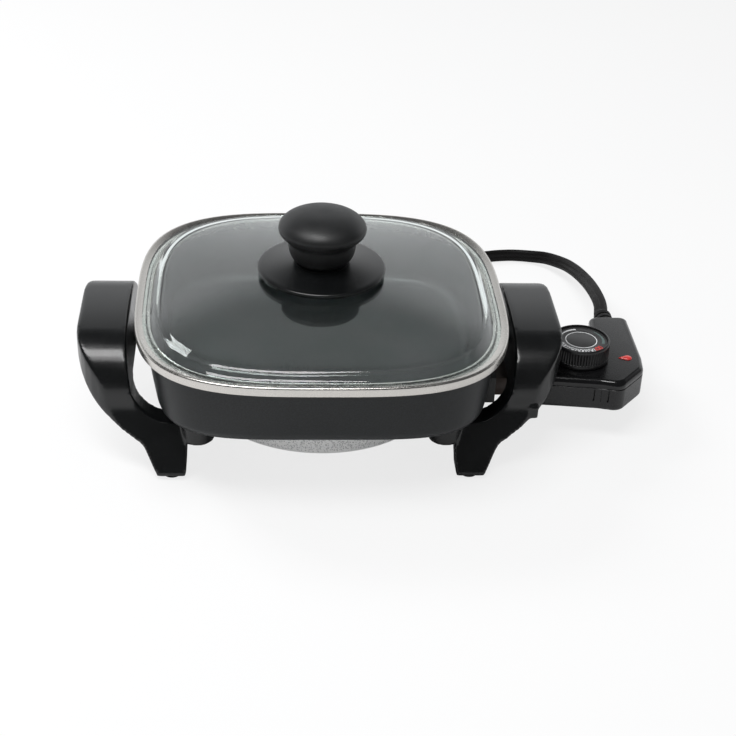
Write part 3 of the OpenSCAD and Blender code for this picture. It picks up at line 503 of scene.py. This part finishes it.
def panWall(height):
    return pan["half"] - (pan["rim"] - height) * math.tan(math.radians(pan["lean"]))


def panRing(half, height):
    share = (height - pan["base"]) / (pan["rim"] - pan["base"])
    return squareRing(half, height, pan["baseSquare"] + (pan["square"] - pan["baseSquare"]) * share)


def panShape():
    lean = math.radians(pan["lean"])
    centre = panWall(pan["base"]) - pan["round"] * (1 / math.cos(lean) - math.tan(lean))
    turns = [math.radians((90 - pan["lean"]) * i / 14) for i in range(15)]
    lip, rim, inside = pan["half"] + pan["lipOut"], pan["rim"], pan["half"] - pan["wall"]
    inner = pan["round"] - pan["wall"]
    under = rim - pan["lipHeight"]
    profile = [(30, pan["base"]), (70, pan["base"])]
    profile += [
        (centre + pan["round"] * math.sin(t), pan["base"] + pan["round"] * (1 - math.cos(t))) for t in turns
    ]
    profile += [(panWall(height), height) for height in (56, 62, 68, 74, under - 1.6, under - 1)]
    profile += [(panWall(under) + 0.6, under - 0.5), (lip - 0.2, under - 0.1), (lip, under + 0.3)]
    profile += [(lip, rim - 1), (lip - 0.25, rim - 0.3), (lip - 0.9, rim)]
    profile += [(inside + 0.9, rim), (inside + 0.2, rim - 0.25), (inside, rim - 0.9)]
    profile += [(panWall(height) - pan["wall"], height) for height in (78, 70, 62, 56)]
    profile += [
        (centre + inner * math.sin(t), pan["floor"] + inner * (1 - math.cos(t))) for t in reversed(turns)
    ]
    profile += [(70, pan["floor"]), (30, pan["floor"]), (1, pan["floor"])]
    return skinOf([panRing(half, height) for half, height in profile])


def panUnderside():
    posts = []
    for side in (-1, 1):
        for end in (-1, 1):
            post = lathe([(8.2, 34), (8.5, 34.3), (8.5, 42.2), (9.6, 43.4)])
            posts.append(moved(post, (end * pan["postX"], side * pan["postY"], 0)))
        guardPost = lathe([(4, 41.7), (4, 44.4)], count=48)
        posts.append(moved(guardPost, (pan["guardX"], side * pan["guardY"], 0)))
    return joined(*posts, lathe([(2.2, 15), (2.5, 15.4), (2.5, 43.5)], count=48))


def coating(graph):
    fine = graph.noise(1100, 4)
    speckle = graph.cells(850).ramp(0.05, 0.3)
    tone = fine.ramp(0.38, 0.66) * 0.6 + (1 - speckle) * 0.4
    return {
        "Base Color": tone.blend((0.006, 0.0072, 0.008), (0.016, 0.0185, 0.02)),
        "Roughness": tone.ramp(0, 1, 0.36, 0.5),
        "Normal": graph.bump(fine * 0.7 + speckle * 0.3, 0.06),
        "Specular IOR Level": 0.32,
    }


panCoating = surface("panCoating", coating)
addPiece("panBody", joined(panShape(), panUnderside()), panCoating, "skillet", ["pan"])
print("pan ready")

# Lid: glass, steel band and knob
lid = {
    "half": 116, "square": 3.3, "low": 85.6, "top": 90.9, "skirt": 84.5, "steel": 0.8, "lip": 111.2,
    "lipFall": 1.3, "lipSteel": 0.3, "play": 0.6, "reach": 3.5, "glassEdge": 115.1, "glassFlat": 89.5,
    "glass": 3, "glassSteps": 400, "shoulderOut": 109.5, "shoulderIn": 102, "shoulder": 5.5, "crown": 11.7,
    "hole": 4.3, "knobRound": 40.3,
}


def glassTop(reach):
    share = min(1, max(0, (lid["shoulderOut"] - reach) / (lid["shoulderOut"] - lid["shoulderIn"])))
    inward = min(1, reach / lid["shoulderIn"])
    return lid["glassFlat"] + lid["shoulder"] * share**2 * (3 - 2 * share) + lid["crown"] * (1 - inward**2)


def glassRing(reach, height):
    share = max(0, (reach - lid["knobRound"]) / (lid["glassEdge"] - lid["knobRound"]))
    return squareRing(reach, height, 2 + (lid["square"] - 2) * share**0.6, lid["glassSteps"])


def glassShape():
    fall = lid["shoulderOut"] - lid["shoulderIn"]
    stops = [lid["glassEdge"] - 0.1, 113.2, 111.3]
    stops += [lid["shoulderOut"] - fall * i / 14 for i in range(15)]
    stops += [lid["shoulderIn"] * (1 - i / 20) for i in range(1, 19)]
    stops += [7, lid["hole"]]
    upper = [glassRing(reach, glassTop(reach)) for reach in stops]
    lower = [
        glassRing(reach, glassTop(min(lid["glassEdge"], reach + lid["glass"] / 2)) - lid["glass"])
        for reach in reversed(stops)
    ]
    edge = glassRing(lid["glassEdge"], lid["glassFlat"] - lid["glass"] / 2)
    return skinOf(upper + lower + [edge], True)


def bandShape():
    # The skirt outside, the sloping lip over the glass, and the inner flange that keeps the lid in the pan
    flange = pan["half"] - pan["wall"] - lid["play"] - lid["reach"] * math.tan(math.radians(pan["lean"]))
    flangeIn, flangeLow = flange - lid["steel"], lid["low"] - lid["reach"]
    steelIn, lipTop = lid["half"] - lid["steel"], lid["top"] - lid["lipFall"]
    corners = [
        (steelIn, lid["low"], 0), (steelIn, lid["skirt"], 0.2), (lid["half"], lid["skirt"], 0.5),
        (lid["half"], lid["top"], 1.3), (lid["lip"], lipTop, 0.2),
        (lid["lip"], lipTop - lid["lipSteel"], 0), (steelIn, lid["top"] - lid["steel"], 0),
        (steelIn, lid["low"] + lid["steel"], 0), (flangeIn, lid["low"] + lid["steel"], 0),
        (flangeIn, flangeLow, 0.2), (flange, flangeLow, 0.2), (flange, lid["low"], 0),
    ]
    return skinOf([squareRing(point.x, point.y) for point in rounded(corners, steps=5)], True)


def glassLook(graph):
    film = graph.noise(35, 3)
    return {
        "Base Color": film.ramp(0.3, 0.7).blend((0.86, 0.93, 0.91), (0.93, 0.97, 0.96)),
        "Roughness": film.ramp(0.35, 0.7, 0.0, 0.015),
        "Transmission Weight": 1.0,
        "IOR": 1.5,
    }


lidGlass = surface("lidGlass", glassLook)
addPiece("lidGlass", glassShape(), lidGlass, "lid", ["lid_glass"], 50)
addPiece("lidBand", bandShape(), steelBand, "lid", ["lid_rim"], 50)

knob = {
    "base": 113.6, "height": 33, "cap": 27.5, "grip": 21.3, "waist": 4.6, "disc": 40.3, "discBase": 107.6,
    "discEdge": 2.4,
}


def knobShape():
    capBase = knob["base"] + knob["height"] - 10.5
    gripBase = knob["base"] + knob["height"] * 0.4
    profile = [(4, knob["base"]), (15.6, knob["base"]), (16.1, knob["base"] + 0.4)]
    for angle in range(0, 91, 6):
        t = math.radians(angle)
        profile.append((
            knob["grip"] - knob["waist"] * (1 - math.sin(t)), gripBase - 12 * math.cos(t) + 0.6
        ))
    profile += [(knob["grip"] + out, capBase - down) for out, down in [(0, 9), (0.2, 8), (0.9, 7)]]
    for angle in range(-60, 1, 6):
        t = math.radians(angle)
        profile.append((knob["cap"] - 5 * (1 - math.cos(t)), capBase + 5 * math.sin(t)))
    for angle in range(4, 89, 4):
        t = math.radians(angle)
        profile.append((knob["cap"] * math.cos(t) ** 0.75, capBase + 10.5 * math.sin(t) ** 1.15))
    return lathe(profile + [(0, capBase + 10.5)], count=128)


def discShape():
    edge, base = knob["disc"], knob["discBase"]
    profile = [
        (3, base - 0.5), (edge - 1.9, base - 0.1), (edge - 1.5, base - 0.4), (edge - 0.5, base - 0.35),
        (edge - 0.1, base), (edge, base + 0.5), (edge, base + knob["discEdge"] - 1),
        (edge - 0.3, base + knob["discEdge"] - 0.3), (edge - 1.1, base + knob["discEdge"]),
    ]
    for i in range(1, 13):
        share = i / 12
        profile.append((
            edge - 1.1 + (17 - edge + 1.1) * share,
            base + knob["discEdge"] + (knob["base"] - base - knob["discEdge"]) * share**1.15,
        ))
    return lathe(profile + [(3, knob["base"])], count=128)


addPiece("lidKnob", knobShape(), knobSatin, "lid", ["lid_knob"], 50)
addPiece("knobDisc", discShape(), blackMoulding, "lid", ["knob_base_guard"], 50)
print("lid ready")

# Temperature control
control = {
    "x": 128, "low": 21.4, "high": 43.4, "seam": 37.7, "bevelIn": 3.2, "bevel": 4.4,
    "draftIn": 2.6, "draft": 3.2, "grooves": (176.5, 181, 185.5), "grooveWidth": 1, "grooveDeep": 1.3,
    "grooveLow": 28, "grooveHigh": 36.4,
}
caseCorners = [
    (0, -24.5, 3), (27, -27.5, 20), (52, -30.5, 20), (65.5, -34, 8), (83.5, -13, 10), (85, 1, 12),
    (85, 55, 4), (59, 55, 4), (56, 29, 4), (0, 27, 3),
]


def caseLine(inset):
    corners = [(control["x"] + x, y, radius) for x, y, radius in caseCorners]
    return rounded(movedIn(corners, inset), steps=12)


def grooved(line, depth):
    # Adds the grooves of the front face to an outline that runs left to right along it
    result = []
    for here, ahead in zip(line, line[1:] + line[:1]):
        result.append(here)
        for groove in control["grooves"]:
            if here.y < 0 and here.x < groove <= ahead.x:
                level = here.y + (ahead.y - here.y) * (groove - here.x) / (ahead.x - here.x)
                for side, deep in [(-1, 0), (-0.7, 1), (0.7, 1), (1, 0)]:
                    across = groove + side * control["grooveWidth"] / 2
                    result.append(Vector((across, level + deep * depth)))
    return result


def caseTopShape():
    rings = [(0.45, control["seam"]), (0.1, control["seam"] + 0.25), (0, control["high"] - control["bevel"])]
    for i in range(1, 13):
        t = math.radians(7.5 * i)
        rings.append((
            control["bevelIn"] * (1 - math.cos(t)), control["high"] - control["bevel"] * (1 - math.sin(t))
        ))
    return skinOf([atHeight(caseLine(inset), height) for inset, height in rings])


def caseBottomShape():
    rings = []
    for i in range(13):
        t = math.radians(7.5 * i)
        rings.append((
            control["draftIn"] * (1 - math.sin(t)), control["low"] + control["draft"] * (1 - math.cos(t)), 0
        ))
    low, high, deep = control["grooveLow"], control["grooveHigh"], control["grooveDeep"]
    rings += [(0, low, 0), (0, low + 0.3, deep), (0, high - 0.3, deep), (0, high, 0)]
    rings += [(0, control["seam"] - 0.5, 0), (0.45, control["seam"] - 0.05, 0)]
    return skinOf([atHeight(grooved(caseLine(inset), depth), height) for inset, height, depth in rings])


addPiece(
    "caseTop", caseTopShape(), [caseMatte, caseGloss], "control", ["control_top"], 40,
    lambda polygon: 0 if abs(polygon.normal.z) > 0.985 else 1
)
addPiece("caseBottom", caseBottomShape(), caseMatte, "control", ["control_bottom"], 40)


def windowShape():
    outline = [Vector((-6.1, 0))] + arc((0, 0), 2.9, -100, 100, 20)
    profile = [
        (1, 39.4), (1, 43.3), (0.985, 43.6), (0.93, 43.9), (0.82, 44.15), (0.62, 44.35), (0.35, 44.45),
        (0.1, 44.5),
    ]
    return skinOf([
        [(202.6 + size * point.x, size * point.y - 1.7, height) for point in outline]
        for size, height in profile
    ])


addPiece("pointerWindow", windowShape(), redPlastic, "control", ["pointer_window"], 30)

# Dial
dial = {"x": 170.8, "base": 43.9, "top": 57.4, "ribs": 60, "ribDepth": 0.75, "face": 17.1, "faceDrop": 1.2}


def dialShape():
    rings = []
    profile = [
        (2, 0, 0), (18.6, 0, 0), (19, 0.4, 0), (19, 2.4, 0), (18.85, 2.7, 0), (18.8, 3.1, 1),
        (18.8, 11.1, 1), (18.8, 11.5, 0), (18.8, 12.6, 0), (18.6, 13.1, 0), (18.1, 13.4, 0), (17.7, 13.5, 0),
        (17.35, 13.35, 0), (17.2, 12.9, 0), (17.15, 11.7, 0), (2, 11.7, 0),
    ]
    count = dial["ribs"] * 8
    for radius, rise, ribbed in profile:
        ring = []
        for i in range(count):
            dip = ribbed * dial["ribDepth"] * (0.5 - 0.5 * math.cos(2 * math.pi * i / 8)) ** 1.6
            ring.append((*((radius - dip) * direction(360 * i / count)), dial["base"] + rise))
        rings.append(ring)
    return moved(skinOf(rings), (dial["x"], 0, 0))


def faceShape():
    level = dial["top"] - dial["faceDrop"] - 0.6
    profile = [
        (2, level), (dial["face"], level), (dial["face"], level + 0.45), (dial["face"] - 0.3, level + 0.6),
        (10.9, level + 0.6), (10.6, level + 0.5), (9.6, level + 0.5), (9.3, level + 0.6), (0, level + 0.6),
    ]
    return moved(lathe(profile, count=128), (dial["x"], 0, 0))


# Digits as strokes in a box one wide and 1.6 high
digits = {
    "0": [[(0.5 + 0.42 * math.sin(i * 0.3927), 0.8 + 0.74 * math.cos(i * 0.3927)) for i in range(17)]],
    "2": [[(0.08, 1.25), (0.25, 1.52), (0.6, 1.56), (0.88, 1.3), (0.84, 0.95), (0.1, 0.06), (0.94, 0.06)]],
    "3": [[(0.1, 1.5), (0.88, 1.5), (0.45, 0.95), (0.8, 0.82), (0.9, 0.45), (0.65, 0.08), (0.1, 0.15)]],
    "4": [[(0.95, 0.45), (0.05, 0.45), (0.7, 1.55), (0.7, 0.03)]],
    "5": [[(0.88, 1.54), (0.2, 1.54), (0.14, 0.88), (0.6, 0.98), (0.92, 0.6), (0.75, 0.15), (0.1, 0.12)]],
}
marks = {
    "level": dial["top"] - dial["faceDrop"], "size": 2.4, "stroke": 0.6, "radius": 14.4, "ring": 10.1,
    "numbers": [("200", 208), ("250", 234), ("300", 260), ("350", 285), ("400", 309)],
    "arcs": [(162, 96, 0.5, 1.5, 13.6)],
    "paleArcs": [(48, -20, 0.5, 1.9, 14.4)],
}


def strip(line, width):
    flat = [(-width / 2, 0), (width / 2, 0), (width / 2, 0.05), (-width / 2, 0.05)]
    return swept([Vector((*point, marks["level"])) for point in line], flat)


def numberShape(text, angle):
    middle = direction(angle) * marks["radius"]
    up, right = -direction(angle), direction(angle + 90)
    strokes = []
    for i, digit in enumerate(text):
        for line in digits[digit]:
            placed = [
                middle + (right * (0.86 * (x + 1.1 * (i - 1) - 0.5)) + up * (y - 0.8)) * marks["size"]
                for x, y in line
            ]
            strokes.append(strip(placed, marks["stroke"]))
    return joined(*strokes)


def taperedArc(start, end, thin, thick, radius):
    rings = []
    for i in range(25):
        share = i / 24
        aim = direction(start + (end - start) * share)
        half = (thin + (thick - thin) * share) / 2
        rings.append([
            (*(aim * (radius + side * half)), marks["level"] + rise)
            for side, rise in [(-1, 0), (1, 0), (1, 0.05), (-1, 0.05)]
        ])
    return skinOf(rings)


def ringMark():
    radius, level = marks["ring"], marks["level"] - 0.1
    inner, outer = radius - 0.28, radius + 0.28
    return lathe([(inner, level), (outer, level), (outer, level + 0.08), (inner, level + 0.08)], True, 128)


whiteMarks = [numberShape(text, angle) for text, angle in marks["numbers"][:-1]]
whiteMarks += [taperedArc(*each) for each in marks["arcs"]] + [ringMark()]
addPiece("dialKnob", dialShape(), dialBlack, "dial", ["dial"], 35)
addPiece("dialFace", faceShape(), faceMatte, "dial", ["dial_face"], 35)
addPiece("dialMarks", moved(joined(*whiteMarks), (dial["x"], 0, 0)), whiteInk, "dial")
hotMark = moved(numberShape(*marks["numbers"][-1]), (dial["x"], 0, 0))
addPiece("dialHotMark", hotMark, redInk, "dial")
paleArcs = moved(joined(*[taperedArc(*each) for each in marks["paleArcs"]]), (dial["x"], 0, 0))
addPiece("dialPaleMark", paleArcs, paleInk, "dial")
print("control and dial ready")


def coverLook(graph):
    place = graph.place() - tuple(panAxis)
    dots = graph.cells(950).ramp(0.2, 0.55)
    # The bottom edge of the cover is painted paler, a painted highlight where its rounded edge catches the
    # light. The pale dots are the sheet's own pattern; plain joins the dots and the painted highlight.
    edgeHighlightTop = (boxOf("element_cover")[0].z + 1) * millimetre
    paintedEdgeHighlight = 1 - place.axis("Z").ramp(edgeHighlightTop, edgeHighlightTop + 0.4 * millimetre)
    plain = dots.larger(paintedEdgeHighlight)
    fine = graph.noise(600, 3)
    return {
        "Base Color": plain.blend((0.5, 0.5, 0.5), (0.9, 0.9, 0.89)),
        "Roughness": fine.ramp(0.3, 0.7, 0.42, 0.56),
        "Metallic": 0.2,
        "Normal": graph.bump(plain, 0.12),
    }


coverSheet = surface("coverSheet", coverLook)

# The other nodes keep their own shape and get a finish and slightly broken edges
dressed = {
    "heating_element": elementSheath, "terminal_pins": pinPlate, "pin_beads": whiteCeramic,
    "probe_well": castWell, "element_cover": coverSheet, "cover_nut": zincPlate, "terminal_guard": darkSheet,
    "guard_screws": zincPlate, "left_handle": blackMoulding, "right_handle": blackMoulding,
    "handle_screws": zincPlate, "foot_pads": blackRubber, "knob_ring": blackRubber, "knob_insert": brass,
    "knob_screw": zincPlate, "knob_washer": zincPlate, "glass_gasket": paleGasket,
    "socket_block": brownBlock, "contact_sleeves": brass, "probe_tube": probeSteel,
    "probe_rod": whiteCeramic, "thermostat_frame": zincPlate, "contact_blades": bladeAlloy,
    "bimetal_blade": bladeAlloy, "ceramic_spacers": whiteCeramic, "shaft_bush": brass,
    "neon_lamp": lampGlass, "case_screws": zincPlate, "supply_leads": leadCover, "dial_shaft": zincPlate,
    "plug_blades": brass,
}
moulded = {"nodes": ("left_handle", "right_handle"), "voxel": 0.9, "smoothing": 12}
brokenEdge = {
    "element_cover": 0.9, "terminal_guard": 0.4, "socket_block": 0.6, "foot_pads": 0.5, "cover_nut": 0.3,
    "probe_well": 0.4, "plug_blades": 0.3, "handle_screws": 0.3,
}


def addModifier(obj, kind, **settings):
    made = obj.modifiers.new(kind.lower(), kind)
    for key, value in settings.items():
        setattr(made, key, value)


for name, material in dressed.items():
    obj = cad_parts[name]
    obj.data.materials.clear()
    obj.data.materials.append(material)
    if "custom_normal" in obj.data.attributes:
        obj.data.attributes.remove(obj.data.attributes["custom_normal"])
    obj.data.polygons.foreach_set("use_smooth", [True] * len(obj.data.polygons))
    addModifier(obj, "WELD", merge_threshold=0.00001)
    if name in moulded["nodes"]:
        voxel = moulded["voxel"] * millimetre
        addModifier(obj, "REMESH", mode="VOXEL", voxel_size=voxel, use_smooth_shade=True)
        addModifier(obj, "SMOOTH", factor=0.5, iterations=moulded["smoothing"])
        continue
    if name in brokenEdge:
        width = brokenEdge[name] * millimetre
        addModifier(obj, "BEVEL", width=width, segments=3, angle_limit=math.radians(40))
    addModifier(obj, "EDGE_SPLIT", split_angle=math.radians(32))
print("nodes dressed:", len(dressed))

# Studio: a pale floor, a wide soft lamp overhead, one behind on the left that nothing mirrors, and a
# room that is bright behind the object
studio = {
    "floor": 3000,
    "lamps": [
        {
            "name": "overhead", "place": (-340, -420, 1560), "size": (1060, 500), "watts": 19,
            "mirrored": True,
        },
        {
            "name": "behindLeft", "place": (-900, 700, 1100), "size": (500, 500), "watts": 12,
            "mirrored": False,
        },
    ],
    "aim": (-100, 0, 60),
}


def addLamp(name, place, size, watts, mirrored):
    data = bpy.data.lights.new(name, "AREA")
    data.shape = "RECTANGLE"
    data.size, data.size_y = [side * millimetre for side in size]
    data.energy = watts
    obj = bpy.data.objects.new(name, data)
    obj.location = inRow(place)
    obj.rotation_euler = (inRow(studio["aim"]) - obj.location).to_track_quat("-Z", "Y").to_euler()
    obj.visible_glossy = mirrored
    scene.collection.objects.link(obj)


def seenRays(graph, names):
    seen = graph.node("ShaderNodeLightPath", output=names[0])
    for name in names[1:]:
        seen = seen.larger(graph.node("ShaderNodeLightPath", output=name))
    return seen


def addFloor():
    reach = studio["floor"]
    mesh = bpy.data.meshes.new("floor")
    corners = [(-reach, -reach, -0.2), (reach, -reach, -0.2), (reach, reach, -0.2), (-reach, reach, -0.2)]
    mesh.from_pydata([inRow(corner) for corner in corners], [], [(0, 1, 2, 3)])
    material = bpy.data.materials.new("floor")
    graph = Graph(material)
    cloud = graph.noise(3, 2).ramp(0.2, 0.8)
    pale = cloud.blend((0.78, 0.78, 0.79), (0.8, 0.8, 0.8))
    diffuse = graph.node("ShaderNodeBsdfDiffuse", values={"Color": pale})
    seen = seenRays(graph, ["Is Camera Ray", "Is Transmission Ray"])
    glow = graph.node("ShaderNodeEmission", values={"Color": (1, 1, 1, 1), "Strength": 1.0})
    lit = graph.node("ShaderNodeMixShader", values={0: seen * 0.78, 1: diffuse, 2: glow})
    graph.node("ShaderNodeOutputMaterial", values={"Surface": lit})
    mesh.materials.append(material)
    obj = bpy.data.objects.new("floor", mesh)
    scene.collection.objects.link(obj)


def addRoom():
    world = bpy.data.worlds.new("room")
    scene.world = world
    graph = Graph(world)
    aim = graph.node("ShaderNodeTexCoord", output="Generated")
    behind = aim.axis("Y").ramp(0.1, 0.6)
    low = 1 - aim.axis("Z").ramp(0.44, 0.64)
    mirrored = graph.node("ShaderNodeLightPath", output="Is Glossy Ray") * (behind * low * 0.9 - 0.22)
    seen = seenRays(graph, ["Is Camera Ray", "Is Transmission Ray"])
    level = (mirrored + 0.32).larger(seen)
    light = graph.node("ShaderNodeBackground", values={"Color": (0.97, 0.985, 1, 1), "Strength": level})
    graph.node("ShaderNodeOutputWorld", values={"Surface": light})


addFloor()
addRoom()
for lamp in studio["lamps"]:
    addLamp(**lamp)
scene.view_settings.view_transform = "Standard"
print("studio ready")
